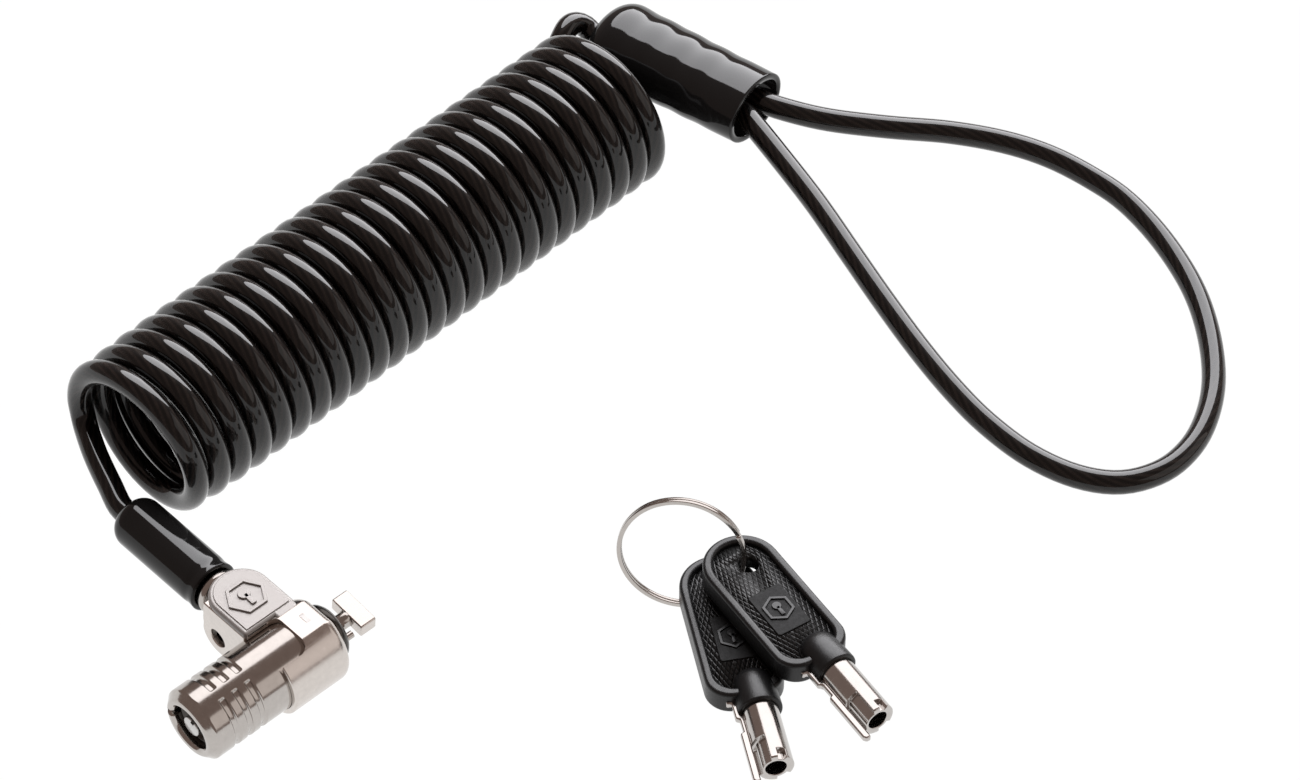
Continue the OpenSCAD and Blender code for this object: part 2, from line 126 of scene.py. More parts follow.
def cable_material():
    """Twisted dark strands seen through a clear glossy sheath; each strand's crest is coloured lighter than the
    gaps beside it, a painted glint on a real lay of strands.

    The UV map counts nominal diameters along the cable and turns round it.
    """
    twist, strands = 1.3, 12
    m = material("cable", (0.012, 0.010, 0.009), rough=0.4, coat=1.0, coat_rough=0.03)
    t = m.node_tree
    b = t.nodes["Principled BSDF"]
    b.inputs["Specular IOR Level"].default_value = 0.05
    b.inputs["Coat IOR"].default_value = 1.42
    uv = t.nodes.new("ShaderNodeUVMap")
    parts = t.nodes.new("ShaderNodeSeparateXYZ")
    t.links.new(uv.outputs["UV"], parts.inputs[0])
    along = maths(t, "MULTIPLY", parts.outputs[0], twist)
    lay = maths(t, "ADD", along, maths(t, "MULTIPLY", parts.outputs[1], strands))
    wave = maths(t, "SINE", maths(t, "MULTIPLY", lay, TAU))
    noise = node(t, "ShaderNodeTexNoise", Scale=3.0, Detail=5.0, Roughness=0.7)
    t.links.new(uv.outputs["UV"], noise.inputs["Vector"])
    # Painted glint: the base colour is lighter along each strand's crest and darker between strands, broken up by
    # noise.
    painted_strand_glint = maths(t, "MULTIPLY", maths(t, "ADD", maths(t, "MULTIPLY", wave, 0.5), 0.5), noise.outputs["Fac"])
    ramp = t.nodes.new("ShaderNodeValToRGB")
    ramp.color_ramp.elements[0].position = 0.1
    ramp.color_ramp.elements[0].color = (0.0012, 0.001, 0.001, 1)
    ramp.color_ramp.elements[1].position = 0.62
    ramp.color_ramp.elements[1].color = (0.013, 0.0095, 0.008, 1)
    t.links.new(painted_strand_glint, ramp.inputs["Fac"])
    t.links.new(ramp.outputs["Color"], b.inputs["Base Color"])
    return m


def hatch_material():
    """Moulded satin black with a raised diamond hatch, laid out by the key's own UV map in millimetres. The
    hatch's grooves are coloured darker than its ridges as painted shade.
    """
    m = material("key_hatch", (0.006, 0.006, 0.006), rough=0.4, ior=1.4)
    t = m.node_tree
    b = t.nodes["Principled BSDF"]
    uv = t.nodes.new("ShaderNodeUVMap")
    parts = t.nodes.new("ShaderNodeSeparateXYZ")
    t.links.new(uv.outputs["UV"], parts.inputs[0])
    spacing = 0.78
    ridges = []
    for slope in (0.42, -0.42):
        along = maths(t, "MULTIPLY", parts.outputs[0], slope / spacing)
        lay = maths(t, "ADD", along, maths(t, "MULTIPLY", parts.outputs[1], 1 / spacing))
        ridges.append(maths(t, "ABSOLUTE", maths(t, "SINE", maths(t, "MULTIPLY", lay, math.pi))))
    height = maths(t, "POWER", maths(t, "MINIMUM", ridges[0], ridges[1]), 0.5)
    bump = node(t, "ShaderNodeBump", Strength=1.0, Distance=0.16 * MM)
    t.links.new(height, bump.inputs["Height"])
    t.links.new(bump.outputs["Normal"], b.inputs["Normal"])
    # Painted shade: darker colour down in the hatch's grooves, lighter on its ridges.
    shade = node(t, "ShaderNodeMix")
    shade.data_type = "RGBA"
    shade.inputs["A"].default_value = (0.0015, 0.0015, 0.0015, 1)
    shade.inputs["B"].default_value = (0.0065, 0.0065, 0.0067, 1)
    t.links.new(height, shade.inputs["Factor"])
    t.links.new(shade.outputs["Result"], b.inputs["Base Color"])
    return m


NICKEL = material("nickel", (0.47, 0.44, 0.415), rough=0.15, metal=1.0, vary=0.35, vary_scale=900)
BRIGHT = material("bright_nickel", (0.62, 0.575, 0.54), rough=0.24, metal=1.0,
                  vary=0.35, vary_scale=1200, grain=(5200, 0.01, 0.15))
SATIN = material("satin_nickel", (0.26, 0.243, 0.231), rough=0.36, metal=0.2, ior=1.4,
                 vary=0.3, vary_scale=1500, grain=(5200, 0.02, 0.35))
CHROME = material("key_chrome", (0.52, 0.495, 0.475), rough=0.15, metal=1.0, vary=0.3, vary_scale=700)
STEEL = material("steel", (0.55, 0.54, 0.53), rough=0.28, metal=1.0,
                 vary=0.4, vary_scale=1200, grain=(3000, 0.01, 0.2))
DARK = material("dark_steel", (0.07, 0.065, 0.06), rough=0.25, metal=1.0, vary=0.4, vary_scale=900)
BRASS = material("brass", (0.70, 0.50, 0.22), rough=0.3, metal=1.0,
                 vary=0.4, vary_scale=900, grain=(3000, 0.01, 0.2))
GLOSS = material("black_gloss", (0.008, 0.0078, 0.0078), rough=0.07, ior=1.38, vary=0.3, vary_scale=400)
KEY = material("key_black", (0.005, 0.005, 0.0053), rough=0.36, ior=1.4,
               vary=0.3, vary_scale=1600, grain=(6500, 0.03, 0.5))
PANEL = material("key_panel", (0.006, 0.006, 0.0062), rough=0.55, ior=1.25,
                 vary=0.3, vary_scale=1600, grain=(6500, 0.04, 0.6))
HATCH = hatch_material()
CABLE = cable_material()


# ---------------------------------------------------------------- mesh helpers
def make(name, verts, faces, mat, uvs=None):
    """One mesh object from points in millimetres. uvs holds one pair for each point of each face."""
    mesh = bpy.data.meshes.new(name)
    mesh.from_pydata([Vector(v) * MM for v in verts], [], faces)
    if uvs:
        layer = mesh.uv_layers.new(name="UVMap")
        for loop, pair in zip(layer.data, uvs):
            loop.uv = pair
    mesh.materials.append(mat)
    mesh.validate()
    bm = bmesh.new()
    bm.from_mesh(mesh)
    bmesh.ops.remove_doubles(bm, verts=bm.verts, dist=1e-7)
    bmesh.ops.recalc_face_normals(bm, faces=bm.faces)
    for f in bm.faces:
        f.smooth = True
    bm.to_mesh(mesh)
    bm.free()
    o = bpy.data.objects.new(name, mesh)
    bpy.context.scene.collection.objects.link(o)
    return o


def rows(name, grid, mat, caps=False):
    """A skin over rows of points, each row a ring."""
    n = len(grid[0])
    verts = [p for row in grid for p in row]
    faces = [(i * n + k, i * n + (k + 1) % n, (i + 1) * n + (k + 1) % n, (i + 1) * n + k)
             for i in range(len(grid) - 1) for k in range(n)]
    if caps:
        faces += [tuple(range(n - 1, -1, -1)), tuple((len(grid) - 1) * n + k for k in range(n))]
    return make(name, verts, faces, mat)


def lathe(name, profile, mat, n=96, closed=True, shift=None):
    """Turned about X from (x, radius) points; closed joins the last point to the first.

    shift takes each point's x, radius and angle, and returns its x and radius as they should be.
    """
    ring = profile + [profile[0]] if closed else profile
    change = shift or (lambda x, r, a: (x, r))
    grid = []
    for x, r in ring:
        row = []
        for k in range(n):
            a = TAU * k / n
            px, pr = change(x, r, a)
            row.append((px, pr * math.cos(a), pr * math.sin(a)))
        grid.append(row)
    return rows(name, grid, mat)


def soften(o, width, segments=3, angle=35):
    """Rounded edges with flat faces that still shade flat."""
    b = o.modifiers.new("edge", "BEVEL")
    b.width = width * MM
    b.segments = segments
    b.limit_method = "ANGLE"
    b.angle_limit = math.radians(angle)
    b.use_clamp_overlap = True
    w = o.modifiers.new("normals", "WEIGHTED_NORMAL")
    w.keep_sharp = True
    return o


def settle(o):
    """Applies the modifiers to the mesh."""
    mesh = bpy.data.meshes.new_from_object(o.evaluated_get(bpy.context.evaluated_depsgraph_get()))
    o.modifiers.clear()
    o.data = mesh
    return o


def cut(o, *tools):
    """Takes the tools' shapes out of the object, and deletes the tools."""
    for tool in tools:
        m = o.modifiers.new("cut", "BOOLEAN")
        m.operation = "DIFFERENCE"
        m.solver = "EXACT"
        m.object = tool
        settle(o)
        bpy.data.objects.remove(tool)
    return o


def prism(name, outline, z0, z1, mat):
    """An outline of (x, y) points carried up from z0 to z1."""
    n = len(outline)
    verts = [(x, y, z0) for x, y in outline] + [(x, y, z1) for x, y in outline]
    faces = [tuple(range(n - 1, -1, -1)), tuple(range(n, 2 * n))]
    faces += [(k, (k + 1) % n, n + (k + 1) % n, n + k) for k in range(n)]
    return make(name, verts, faces, mat)


def move(o, matrix):
    """Places a mesh by its points, so the object itself stays at the origin."""
    scaled = matrix.copy()
    scaled.translation = scaled.translation * MM
    o.data.transform(scaled)
    return o


def circle(cx, cy, r, a0=0.0, a1=360.0, n=48):
    """Points round a centre from a0 to a1 degrees; a whole turn doesn't repeat its first point."""
    full = abs(a1 - a0) >= 360
    out = []
    for k in range(n if full else n + 1):
        a = math.radians(a0 + (a1 - a0) * k / n)
        out.append((cx + r * math.cos(a), cy + r * math.sin(a)))
    return out


def unit(v):
    return v.normalized()


def sweep(name, path, section, mat):
    """Carries a section of (side, over) points along the path without twist, with capped ends.

    Returns the piece and the path's length.
    """
    pts = [Vector(p) for p in path]
    tangents = [unit(pts[min(i + 1, len(pts) - 1)] - pts[max(i - 1, 0)]) for i in range(len(pts))]
    side = unit(tangents[0].cross(Vector((0, 0, 1))))
    grid, run = [], 0.0
    along = []
    for i, (p, t) in enumerate(zip(pts, tangents)):
        side = unit(side - t * side.dot(t))
        over = side.cross(t)
        if i:
            run += (pts[i] - pts[i - 1]).length
        along.append(run)
        grid.append([p + side * s + over * u for s, u in section])
    n = len(section)
    verts = [p for row in grid for p in row]
    faces, uvs = [], []
    for i in range(len(grid) - 1):
        for k in range(n):
            faces.append((i * n + k, i * n + (k + 1) % n, (i + 1) * n + (k + 1) % n, (i + 1) * n + k))
            u0, u1 = along[i] / CABLE_D, along[i + 1] / CABLE_D
            v0, v1 = k / n, (k + 1) / n
            uvs += [(u0, v0), (u0, v1), (u1, v1), (u1, v0)]
    faces += [tuple(range(n - 1, -1, -1)), tuple((len(grid) - 1) * n + k for k in range(n))]
    uvs += [(0.0, 0.0)] * (2 * n)
    return make(name, verts, faces, mat, uvs), run


def smooth_path(points, step=1.0):
    """A Catmull-Rom line through the points."""
    p = [Vector(q) for q in points]
    out = []
    for i in range(len(p) - 1):
        a, b, c, d = p[max(i - 1, 0)], p[i], p[i + 1], p[min(i + 2, len(p) - 1)]
        n = max(2, round((c - b).length / step))
        for k in range(n):
            t = k / n
            out.append(0.5 * (2 * b + (c - a) * t + (2 * a - 5 * b + 4 * c - d) * t * t
                              + (3 * b - a - 3 * c + d) * t ** 3))
    out.append(p[-1])
    return out


def show(o, body, *nodes, slot=None):
    """Makes a piece ride on a body and stand for CAD nodes if any are given; slot is not used."""
    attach(o, body)
    if nodes:
        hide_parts(*nodes)
    return o


# ---------------------------------------------------------------- cable
CABLE_D = 3.8  # nominal diameter, which the UV map counts
R = 1.97  # radius of the sheath as drawn
COIL_R, PITCH, TURNS = 12.6, 4.21, 25
YAW = math.radians(2.8)
AXIS = Vector((math.cos(YAW), math.sin(YAW), 0))
ACROSS = Vector((-math.sin(YAW), math.cos(YAW), 0))
COIL_START = Vector((-1.7, 44.6, 7.5))
PER_TURN = 48

FIRST_TURN_LESS, EASES_OVER = 0.6, 1.2  # how much tighter the first turn is, and over how many turns it eases

tail = smooth_path([(-8.8, 36.5, 1.5), (-8.75, 40, 1.5), (-7.5, 44, 2), (-6.2, 48, 2.5), (-5.0, 51.2, 2.9),
                    (-3.3, 55.0, 3.5), (-2.5, 56.7, 5.2), (-2.32, 57.2, 7.5)])


def coil_point(t):
    """A point t turns along the helix; its first turn is wound a little tighter."""
    less = FIRST_TURN_LESS * math.exp(-t / EASES_OVER)
    r = COIL_R - less
    out = ACROSS * (r * math.cos(TAU * t) + less) + Vector((0, 0, r * math.sin(TAU * t) - less))
    return COIL_START + AXIS * PITCH * t + out + Vector((0, 0, less * max(0, 1 - 4 * t)))


coil = [coil_point(k / PER_TURN) for k in range(PER_TURN * TURNS + 1)]
lead = smooth_path([tuple(coil[-1]), (103.4, 62.5, 9.8), (105.2, 63, 11.6), (107.6, 63.9, 12.4),
                    (109.6, 64.1, 12), (111, 63.2, 11), (111.4, 61, 10), (112.4, 55, 9.8), (114.0, 44, 9.8),
                    (116.4, 30.5, 9.8)], 0.8)
loop = smooth_path([(116.4, 30.5, 9.8), (114.8, 21, 8.1), (112.7, 10, 6.1), (110, -1, 4), (107.5, -11, 2.2),
                    (105.3, -21, 0.4), (103.9, -30, -1.2), (103.4, -38, -2.5), (104.2, -46.5, -3.7),
                    (107, -54, -4.7), (111.5, -59.5, -5.1), (118, -62.3, -5.1), (125, -62, -5.1),
                    (132, -59.3, -5.1), (139, -54.5, -5), (145.5, -47.5, -4.4), (150.5, -39.5, -3.4),
                    (153.8, -30, -2), (155, -21, -0.5), (154, -14, 0.8), (151.5, -6.5, 2.3), (147.5, 0.3, 3.6),
                    (141.5, 7.2, 5), (134, 14, 6.4), (127, 21, 7.8), (122.5, 26.5, 9.2), (120.3, 30.9, 9.9),
                    (118.5, 40, 9.9), (117, 49, 9.8), (116.4, 56, 9.8)], 1.5)
route = tail[:-1] + coil[:-1] + lead[:-1] + loop
SIDES = 20
section = [(R * math.cos(TAU * k / SIDES), R * math.sin(TAU * k / SIDES)) for k in range(SIDES)]
cable, cable_run = sweep("cable_sheath", route, section, CABLE)
show(cable, "cable", "cable_tail", "cable_coil", "cable_lead", "cable_loop", slot="cable_black")


# ---------------------------------------------------------------- sleeves on the cable
def sleeve_rows(name, start, end, w, h, bumps, mat, wall=1.1, dome=2.4, taper=0.0, mouth=6.0):
    """A moulded sleeve, oval in section: domed at its start, pinched in rings, open at its far rim.

    Each bump is (distance from the start, width, depth) of a pinched ring.
    """
    s, e = Vector(start), Vector(end)
    length = (e - s).length
    t = unit(e - s)
    side = unit(t.cross(Vector((0, 0, 1))))
    over = side.cross(t)
    flat = (w - h) / 2
    n = 96
    stations = []
    for k in range(11):
        a = math.radians(9 * k)
        stations.append((dome * (1 - math.cos(a)), -dome * (1 - math.sin(a))))
    steps = 150
    stations += [(dome + (length - dome) * k / steps, 0.0) for k in range(1, steps + 1)]
    grid = []
    for x, less in stations:
        wave = 0.0
        for at, width, deep in bumps:
            wave -= deep * math.exp(-((x - at) / width) ** 2)
        r = h / 2 + less + wave - taper * x / length
        grid.append(oval_row(s + t * x, side, over, r, flat, n))
    for x, r in ((length + 0.15, h / 2 - 0.25 - taper), (length + 0.15, h / 2 - wall + 0.1 - taper),
                 (length - 0.1, h / 2 - wall - taper), (length - mouth, h / 2 - wall - 0.3 - taper)):
        grid.append(oval_row(s + t * x, side, over, r, flat, n))
    grid.append(oval_row(s + t * (length - mouth), side, over, 0.02, flat, n))
    grid.insert(0, oval_row(s, side, over, 0.02, flat, n))
    return rows(name, grid, mat, caps=True)


def oval_row(centre, side, over, r, flat, n):
    """An ellipse of n points, r high each way and wider than that by flat."""
    out = []
    for k in range(n):
        a = TAU * k / n
        out.append(centre + side * (r + flat) * math.cos(a) + over * r * math.sin(a))
    return out


lock_sleeve = sleeve_rows("lock_sleeve_moulding", (-8.8, 37.8, 1.5), (-8.8, 17.6, 1.5), 8.5, 8.5,
                          [(18.9, 0.8, 0.12)], GLOSS, wall=0.9, dome=2.6, mouth=0.8)
show(lock_sleeve, "cable", "lock_sleeve", slot="black_gloss")
loop_sleeve = sleeve_rows("loop_sleeve_moulding", (113.2, 61.2, 9.7), (118.4, 29.9, 10), 15.4, 12.4,
                          [(7.5, 1.9, 0.15), (13.0, 1.9, 0.12), (18.5, 1.9, 0.15), (24.0, 1.9, 0.12)],
                          GLOSS, dome=4.4, taper=0.5, mouth=5.0)
show(loop_sleeve, "cable", "loop_sleeve", slot="black_gloss")

# ---------------------------------------------------------------- lock barrel
FACE = -28.2
BARREL_R = 6.05
GROOVES, GROOVE_PITCH, FIRST_GROOVE, GROOVE_DEPTH = 3, 2.45, 4.7, 0.46
PLAIN_AT = 107  # direction of one plain strip in degrees; the other is opposite


def smooth(a, b, x):
    """0 below a, 1 above b, and an even curve between."""
    t = max(0.0, min(1.0, (x - a) / (b - a)))
    return t * t * (3 - 2 * t)


def turn_between(a, b):
    """The angle between two directions, in degrees."""
    return abs((a - b + 180) % 360 - 180)


def barrel_shape(x, r, a):
    """Grip grooves that stop short of two plain strips."""
    deg = math.degrees(a) % 360
    if r > 5.9 and x > FACE + 2:
        for i in range(GROOVES):
            at = FACE + FIRST_GROOVE + GROOVE_PITCH * i
            depth = GROOVE_DEPTH * (1 - smooth(0.36, 0.62, abs(x - at)))
            off = min(turn_between(deg, PLAIN_AT), turn_between(deg, PLAIN_AT + 180))
            r -= depth * smooth(8, 11, off)
    return x, r


profile = [(FACE + 1.6, 3.75), (FACE + 0.45, 3.75), (FACE + 0.4, 3.78), (FACE + 0.05, 4.1), (FACE, 4.18),
           (FACE, 4.3), (FACE, 4.6), (FACE + 0.02, 4.8), (FACE + 0.14, 4.98)]
profile += [(FACE + 0.14 + 0.18 * k, 4.98 + 0.17 * k) for k in range(1, 6)]
profile += [(FACE + 1.16, 5.96), (FACE + 1.3, 6.03)]
profile += [(FACE + 1.4 + 0.12 * k, BARREL_R) for k in range(1, 94)]
profile += [(-10, BARREL_R), (-3.2, BARREL_R), (-2.6, BARREL_R - 0.05), (-2.5, BARREL_R - 0.2), (-2.5, 4.75),
            (FACE + 1.6, 4.75)]
barrel = lathe("barrel_shell", profile, NICKEL, n=288, shift=barrel_shape)
notch_outline = [(-0.68, 2.2), (0.68, 2.2), (0.68, 4.5), (0.35, 5.15), (-0.35, 5.15), (-0.68, 4.5)]
notch = prism("notch_tool", notch_outline, -31, -26.2, NICKEL)
cut(barrel, move(notch, Matrix.Rotation(math.radians(90), 4, "Y")))
show(barrel, "barrel", "lock_barrel", slot="nickel")

core = lathe("core_plug", [(-26.55, 3.2), (-26.55, 4.6), (-15.0, 4.6), (-15.0, 1.35), (-19.0, 1.35),
                           (-19.0, 3.2)], DARK, n=96)
show(core, "core", "lock_core", slot="dark_steel")
post = lathe("core_post", [(-19.2, 0.0), (-19.2, 1.7), (-27.4, 1.7), (-27.62, 1.62), (-27.7, 1.45),
                           (-27.7, 0.0)], STEEL, n=64, closed=False)
slot = prism("post_tool", [(-2.4, -0.32), (-1.05, -0.32), (-1.05, 0.32), (-2.4, 0.32)], -28.5, -25, STEEL)
cut(post, move(slot, Matrix.Rotation(math.radians(20), 4, "X") @ Matrix.Rotation(math.radians(90), 4, "Y")))
soften(post, 0.06, 2)
show(post, "core", slot="steel")

# ---------------------------------------------------------------- nose and T bar
nose = lathe("nose_disc", [(-7.0, 1.36), (-7.0, 4.65), (-1.4, 4.65), (-1.9, 4.7), (-1.7, 4.8), (-1.3, 4.8),
                           (-0.8, 4.55), (-0.3, 4.0), (0.0, 3.3), (0.0, 1.5), (-0.1, 1.36)], DARK, n=96)
show(nose, "barrel", "nose_cap", slot="dark_steel")


def along_x(o):
    """Turns a prism made along Z so that it runs along X, with its own x and y on Y and Z."""
    return move(o, Matrix(((0, 0, 1, 0), (1, 0, 0, 0), (0, 1, 0, 0), (0, 0, 0, 1))))


def rounded_rect(x0, y0, x1, y1, r, n=5):
    """A rectangle from corner to corner, with corners of radius r in n steps."""
    out = []
    for cx, cy, a in ((x1 - r, y1 - r, 0), (x0 + r, y1 - r, 90), (x0 + r, y0 + r, 180), (x1 - r, y0 + r, 270)):
        out += circle(cx, cy, r, a, a + 90, n)
    return out


t_head = along_x(prism("t_head", rounded_rect(-3.45, -1.2, 3.45, 1.2, 0.35), 2.6, 5.5, BRIGHT))
soften(move(t_head, Matrix.Rotation(math.radians(7), 4, "X")), 0.2, 3)
show(t_head, "core", "t_bar", slot="nickel")
stem = lathe("t_stem", [(-2.8, 0.0), (-2.8, 1.3), (2.2, 1.3), (2.7, 1.42), (2.7, 0.0)], NICKEL, n=48,
             closed=False)
show(stem, "core", slot="nickel")

# ---------------------------------------------------------------- bracket
collar_profile = [(-13.3, 6.12), (-13.3, 6.72)]
collar_profile += circle(-13.02, 6.72, 0.28, 180, 90, 4) + circle(-3.7, 5.3, 1.7, 90, 12, 10)
collar_profile += [(-2.0, 5.5), (-2.0, 4.95), (-2.3, 4.9), (-2.4, 6.12)]
PLATE_TOP = 6.42


def collar_shape(x, r, a):
    """The casting is round, with a flat along its top in line with the plate."""
    top = PLATE_TOP - max(0.0, 7.0 - r)
    if r > 6.3 or (x > -4 and r > 5.4):
        r = min(r, top / max(0.05, math.sin(a)))
    return x, r


collar = lathe("collar_shell", collar_profile, BRIGHT, n=240, shift=collar_shape)
window = [(-16, -4.4)] + circle(-9.6, -2.8, 1.6, -90, 0, 8) + circle(-9.6, 2.0, 1.6, 0, 90, 8) + [(-16, 3.6)]
cut(collar, prism("window_tool", window, 1, 20, BRIGHT))
soften(collar, 0.14, 3, 40)
show(collar, "bracket", "collar_bracket", slot="satin_nickel")

# the plate's middle, width, near edge and far end
PX, PW, PY, PL = -8.8, 9.8, 3.6, 15.4


def plate_outline(inset, near):
    """Straight at its near edge and round at its far end."""
    end = circle(PX, PL - PW / 2, PW / 2 - inset, 0, 180, 40)
    return [(PX - PW / 2 + inset, near), (PX + PW / 2 - inset, near)] + end


plate = soften(prism("plate_body", plate_outline(0, PY), 5.1, PLATE_TOP, SATIN), 0.5, 5, 50)
show(plate, "bracket", slot="satin_nickel")
plate_face = soften(prism("plate_face", plate_outline(0.75, PY + 0.5), 5.6, 6.6, SATIN), 0.12, 3, 50)
show(plate_face, "bracket", slot="satin_nickel")
bridge_outline = [(-8.0, -1.4), (-4.0, -1.4), (-4.0, 4.6), (-8.0, 4.6)]
bridge = soften(prism("plate_bridge", bridge_outline, 4.4, 6.4, SATIN), 0.5, 4, 40)
show(bridge, "bracket", slot="satin_nickel")
HINGE_Y, HINGE_Z = 10.9, -0.8


def lug(name, x0, x1):
    """A cheek of the clevis: round about the hinge pin, carried up to the plate and back to the collar."""
    out = circle(HINGE_Y, HINGE_Z, 3.4, -90, 20, 16) + [(14.1, 1.6), (13.6, 5.3), (3.9, 5.3), (3.9, -4.2)]
    o = along_x(prism(name, out, x0, x1, BRIGHT))
    hole = along_x(prism("hole_tool", circle(HINGE_Y, HINGE_Z, 1.62, n=40), x0 - 1, x1 + 1, NICKEL))
    cut(o, hole)
    return soften(o, 0.28, 3, 40)


show(lug("lug_near", -13.7, -11.8), "bracket", slot="satin_nickel")
show(lug("lug_far", -5.8, -3.9), "bracket", slot="satin_nickel")

# a plain raised hexagon with a keyhole mark
MARK_Z0, MARK_Z1 = 6.5, 6.92
inner = prism("mark_tool", circle(PX, 9.1, 2.75, n=6), 6, 8, SATIN)
mark = cut(prism("emblem_hexagon", circle(PX, 9.1, 3.4, n=6), MARK_Z0, MARK_Z1, SATIN), inner)
show(soften(mark, 0.08, 2, 30), "bracket", "emblem_plate", slot="satin_nickel")
dot = soften(prism("emblem_dot", circle(PX, 9.7, 1.0, n=32), MARK_Z0, MARK_Z1, SATIN), 0.08, 2, 30)
show(dot, "bracket", slot="satin_nickel")
bar_outline = [(PX - 0.45, 7.2), (PX + 0.45, 7.2), (PX + 0.32, 9.5), (PX - 0.32, 9.5)]
bar = soften(prism("emblem_bar", bar_outline, MARK_Z0, MARK_Z1, SATIN), 0.08, 2, 30)
show(bar, "bracket", slot="satin_nickel")

# ---------------------------------------------------------------- ferrule at the lock sleeve
ferrule = lathe("ferrule_flange", [(15.6, 2.95), (15.6, 3.3), (15.8, 3.6), (16.3, 3.7), (16.9, 3.6), (17.1, 3.35),
                                   (17.6, 3.35), (17.6, 2.95)], NICKEL, n=72)
move(ferrule, Matrix.Translation(Vector((-8.8, 0, 1.5))) @ Matrix.Rotation(math.radians(90), 4, "Z"))
show(ferrule, "cable", "eye_ferrule", slot="nickel")

# ---------------------------------------------------------------- keys
# length and half width of the head, how far its middle stands off the tube's axis, and the tube's tip
HEAD_L, HALF, OFF, TIP = 21.6, 6.1, -1.1, 34.6


def key_outline(less=0.0):
    """The head's edge: a round ring end, straight sides and rounded shoulders."""
    r = HALF - less
    end = HEAD_L - less
    c = 4.0 - less * 0.6
    out = [(r * math.cos(math.radians(a)), OFF + r * math.sin(math.radians(a))) for a in range(90, 271, 6)]
    for side, turns in ((-1, range(11)), (1, range(10, -1, -1))):
        for k in turns:
            a = math.radians(9 * k)
            out.append((end - c + c * math.sin(a), OFF + side * (r - c + c * math.cos(a))))
    return out


def flat_uv(o):
    """UV map in millimetres over the key's own plane."""
    layer = o.data.uv_layers.active or o.data.uv_layers.new(name="UVMap")
    for loop in o.data.loops:
        c = o.data.vertices[loop.vertex_index].co
        layer.data[loop.index].uv = (c.x / MM, c.y / MM)
    return o


def tube_notches(x, r, a):
    """The tip's outer wall is cut back in three places, over different lengths."""
    deg = math.degrees(a) % 360
    if r > 2:
        long_cut = TIP - 4.6 < x and 108 < deg < 204
        short_cut = TIP - 1.7 < x and 56 < deg < 84
        low_cut = TIP - 2.6 < x and 275 < deg < 325
        if long_cut or short_cut or low_cut:
            r = min(r, 2.05)
    return x, r


def key(letter, place):
    """One key, made lying along X with its ring hole at the origin, then put in its place."""
    body = "key_" + letter
    black = "black_satin"
    rim = prism(body + "_rim", key_outline(), -2.1, 2.1, KEY)
    cut(rim, prism("rim_tool", key_outline(1.55), -3, 3, KEY))
    soften(rim, 0.62, 5, 50)
    web = prism(body + "_web", key_outline(1.0), -1.3, 1.3, HATCH)
    hole = prism("hole_tool", circle(0, 0, 1.62, n=40), -3, 3, HATCH)
    cut(web, hole)
    flat_uv(web)
    panel = prism(body + "_panel", rounded_rect(5.6, OFF - 2.9, 14.4, OFF + 2.9, 0.5), -1.5, 1.5, PANEL)
    soften(panel, 0.15, 3, 50)
    marks = []
    stroke = [(9.5, OFF - 0.28), (11.3, OFF - 0.36), (11.3, OFF + 0.36), (9.5, OFF + 0.28)]
    for z0, z1 in ((-1.72, -1.3), (1.3, 1.72)):
        ring = cut(prism(body + "_mark", circle(9.8, OFF, 2.55, n=6), z0, z1, KEY),
                   prism("mark_tool", circle(9.8, OFF, 2.0, n=6), z0 - 1, z1 + 1, KEY))
        marks.append(soften(ring, 0.08, 2, 30))
        marks.append(soften(prism(body + "_dot", circle(9.3, OFF, 0.75, n=24), z0, z1, KEY), 0.08, 2, 30))
        marks.append(soften(prism(body + "_bar", stroke, z0, z1, KEY), 0.06, 2, 30))
    boss = lathe(body + "_boss", [(16.6, 0.0), (16.6, 1.4), (17.0, 2.2), (17.7, 2.85), (18.6, 3.2), (19.6, 3.35),
                                  (21.5, 3.45), (23.5, 3.5), (23.75, 3.45), (23.85, 3.3), (23.85, 2.86),
                                  (23.3, 2.82), (23.3, 0.0)], KEY, n=72, closed=False)
    outer = [(18.6, 2.8), (19.0, 2.8), (24.0, 2.8), (27.0, 2.8)] + [(TIP - 4.8 + 0.1 * k, 2.8) for k in range(47)]
    inner_wall = [(TIP - 0.1, 2.74), (TIP, 2.6), (TIP, 2.2), (TIP, 1.72), (TIP - 0.1, 1.6), (18.6, 1.6)]
    tube = lathe(body + "_shank", outer + inner_wall, CHROME, n=144, shift=tube_notches)
    soften(tube, 0.08, 2, 50)
    blade_pts = [(15.8, -2.7), (15.8, -4.7), (21.8, -4.7), (21.8, -3.95), (24.7, -3.95), (25.0, -3.35),
                 (27.3, -3.3), (27.5, -3.85), (36.3, -3.85), (36.8, -3.5), (36.8, -2.7)]
    blade = soften(prism(body + "_flat", blade_pts, -0.55, 0.55, CHROME), 0.42, 5, 40)
    for o in [rim, web, panel, boss, tube, blade] + marks:
        move(o, place)
    show(rim, body, body + "_head", slot=black)
    for o in [web, panel, boss] + marks:
        show(o, body, slot=black)
    show(tube, body, body + "_tube", slot="nickel")
    show(blade, body, body + "_blade", slot="nickel")


key("a", Matrix.Translation(Vector((49.7, -33.8, -3.4))) @ Matrix.Rotation(math.radians(-122), 4, "Z"))
key("b", Matrix.Translation(Vector((52.7, -35.5, 0.85))) @ Matrix.Rotation(math.radians(-101), 4, "Z"))

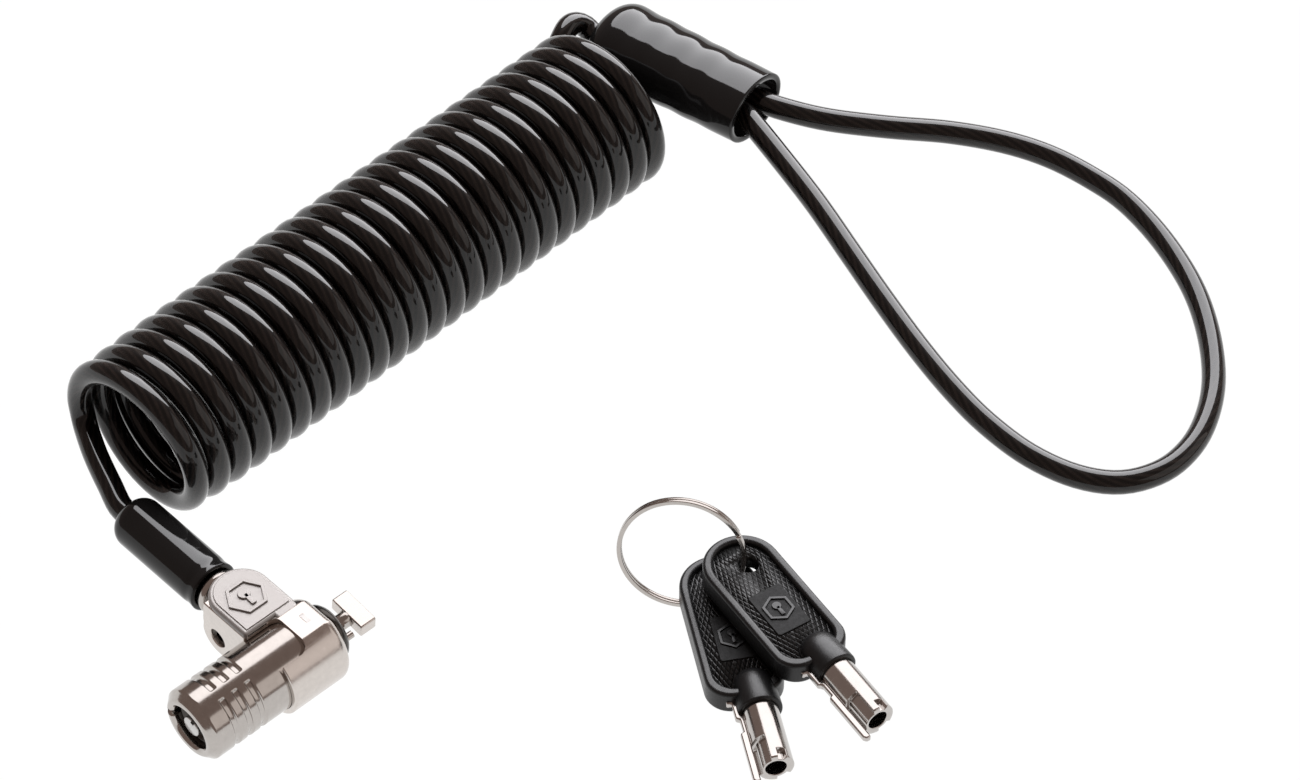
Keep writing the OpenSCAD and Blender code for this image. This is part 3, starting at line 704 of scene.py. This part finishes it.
# ---------------------------------------------------------------- split ring: two layers of one wire
ring_turn = Matrix.Rotation(math.radians(218), 4, "Z") @ Matrix.Rotation(math.radians(77), 4, "Y")
ring_place = Matrix.Translation(Vector((46.4, -27.4, 3.1))) @ ring_turn
RING_R, LAYER = 9.6, 0.6
WIRE_START, WOUND = 120, 718  # degrees
STEPS = 288
wire = []
for k in range(STEPS + 1):
    a = math.radians(WIRE_START + WOUND * k / STEPS)
    turn = WOUND * k / STEPS / 360
    rise = smooth(0.9, 1.08, turn)
    wire.append((RING_R * math.cos(a), RING_R * math.sin(a), -LAYER / 2 + LAYER * rise))
wire_section = rounded_rect(-0.36, -0.29, 0.36, 0.29, 0.12, 3)
ring, _ = sweep("ring_wire", wire, wire_section, NICKEL)
move(ring, ring_place)
show(ring, "key_ring", "split_ring", slot="nickel")

# ---------------------------------------------------------------- materials of the CAD pieces that stay in view
STAYS = {"key_pins": BRASS, "driver_pins": STEEL, "pin_springs": STEEL, "pin_housing": BRASS, "spindle": STEEL,
         "drive_pin": STEEL, "anti_rotation_pins": NICKEL, "retaining_ring": STEEL, "hinge_pin": DARK,
         "cable_eye": STEEL, "loop_crimp": STEEL}
for name, mat in STAYS.items():
    o = frame["nodes"][name]
    o.data.materials.clear()
    o.data.materials.append(mat)

# ---------------------------------------------------------------- table, light and camera
bpy.ops.mesh.primitive_plane_add(size=4, location=(0.06, 0.0, FLOOR * MM))
floor = bpy.context.object
floor.name = "table"
floor_mat = bpy.data.materials.new("table")
floor_mat.use_nodes = True
b = floor_mat.node_tree.nodes["Principled BSDF"]
b.inputs["Base Color"].default_value = (0.045, 0.045, 0.045, 1)
b.inputs["Roughness"].default_value = 0.9
b.inputs["Specular IOR Level"].default_value = 0.0
b.inputs["Emission Color"].default_value = (1, 1, 1, 1)
b.inputs["Emission Strength"].default_value = 1.0
floor.data.materials.append(floor_mat)


def softbox(name, direction, distance, width, height, glow, colour, long_axis, shape="RECTANGLE", lit=None):
    """An area light of the given brightness, facing the object. With lit, it lights that collection only."""
    light = bpy.data.lights.new(name, "AREA")
    light.shape = shape
    light.size, light.size_y = width, height
    light.energy = glow * math.pi * width * height * (math.pi / 4 if shape == "ELLIPSE" else 1)
    light.color = colour
    o = bpy.data.objects.new(name, light)
    z = unit(Vector(direction))
    y = Vector(long_axis)
    y = unit(y - z * y.dot(z))
    o.matrix_world = Matrix((y.cross(z), y, z)).transposed().to_4x4()
    o.location = Vector((0.055, 0.0, 0.0)) + z * distance
    bpy.context.scene.collection.objects.link(o)
    if lit:
        o.light_linking.receiver_collection = lit


# One overhead light, as two in the same place: a weaker one for bright and plain metal, and a stronger one for
# the black pieces and the satin plate.
plated = bpy.data.collections.new("plated")
other = bpy.data.collections.new("other")
for o in bpy.data.objects:
    if o.type == "MESH" and o is not floor:
        bare = o.data.materials and o.data.materials[0] in (NICKEL, BRIGHT, CHROME, STEEL, DARK, BRASS)
        (plated if bare else other).objects.link(o)
for name, glow, colour, lit in (("overhead", 8.0, (0.97, 0.97, 1.0), other),
                                ("overhead_plated", 1.9, (0.99, 0.98, 1.0), plated)):
    softbox(name, (0.63, 0.40, 0.67), 1.25, 1.05, 1.95, glow, colour, (1, 0, 0), "ELLIPSE", lit)
softbox("front_card", (0.47, -0.745, 0.44), 1.2, 1.3, 0.82, 0.62, (1.0, 0.97, 0.94), (0, 0, 1))

world = bpy.data.worlds.new("studio")
world.use_nodes = True
bg = world.node_tree.nodes["Background"]
bg.inputs["Color"].default_value = (0.33, 0.25, 0.22, 1)
bg.inputs["Strength"].default_value = 0.74
bpy.context.scene.world = world

cam = bpy.data.cameras.new("camera")
cam.sensor_width = 36
cam.lens = 115.9
cam.clip_start = 0.01
camera = bpy.data.objects.new("camera", cam)
camera.location = (-0.2436, -0.3249, 0.4856)
look = Vector((0.0727, 0.0072, -0.0070)) - camera.location
camera.rotation_euler = look.to_track_quat("-Z", "Y").to_euler()
bpy.context.scene.collection.objects.link(camera)
bpy.context.scene.camera = camera
bpy.context.scene.view_settings.view_transform = "Standard"
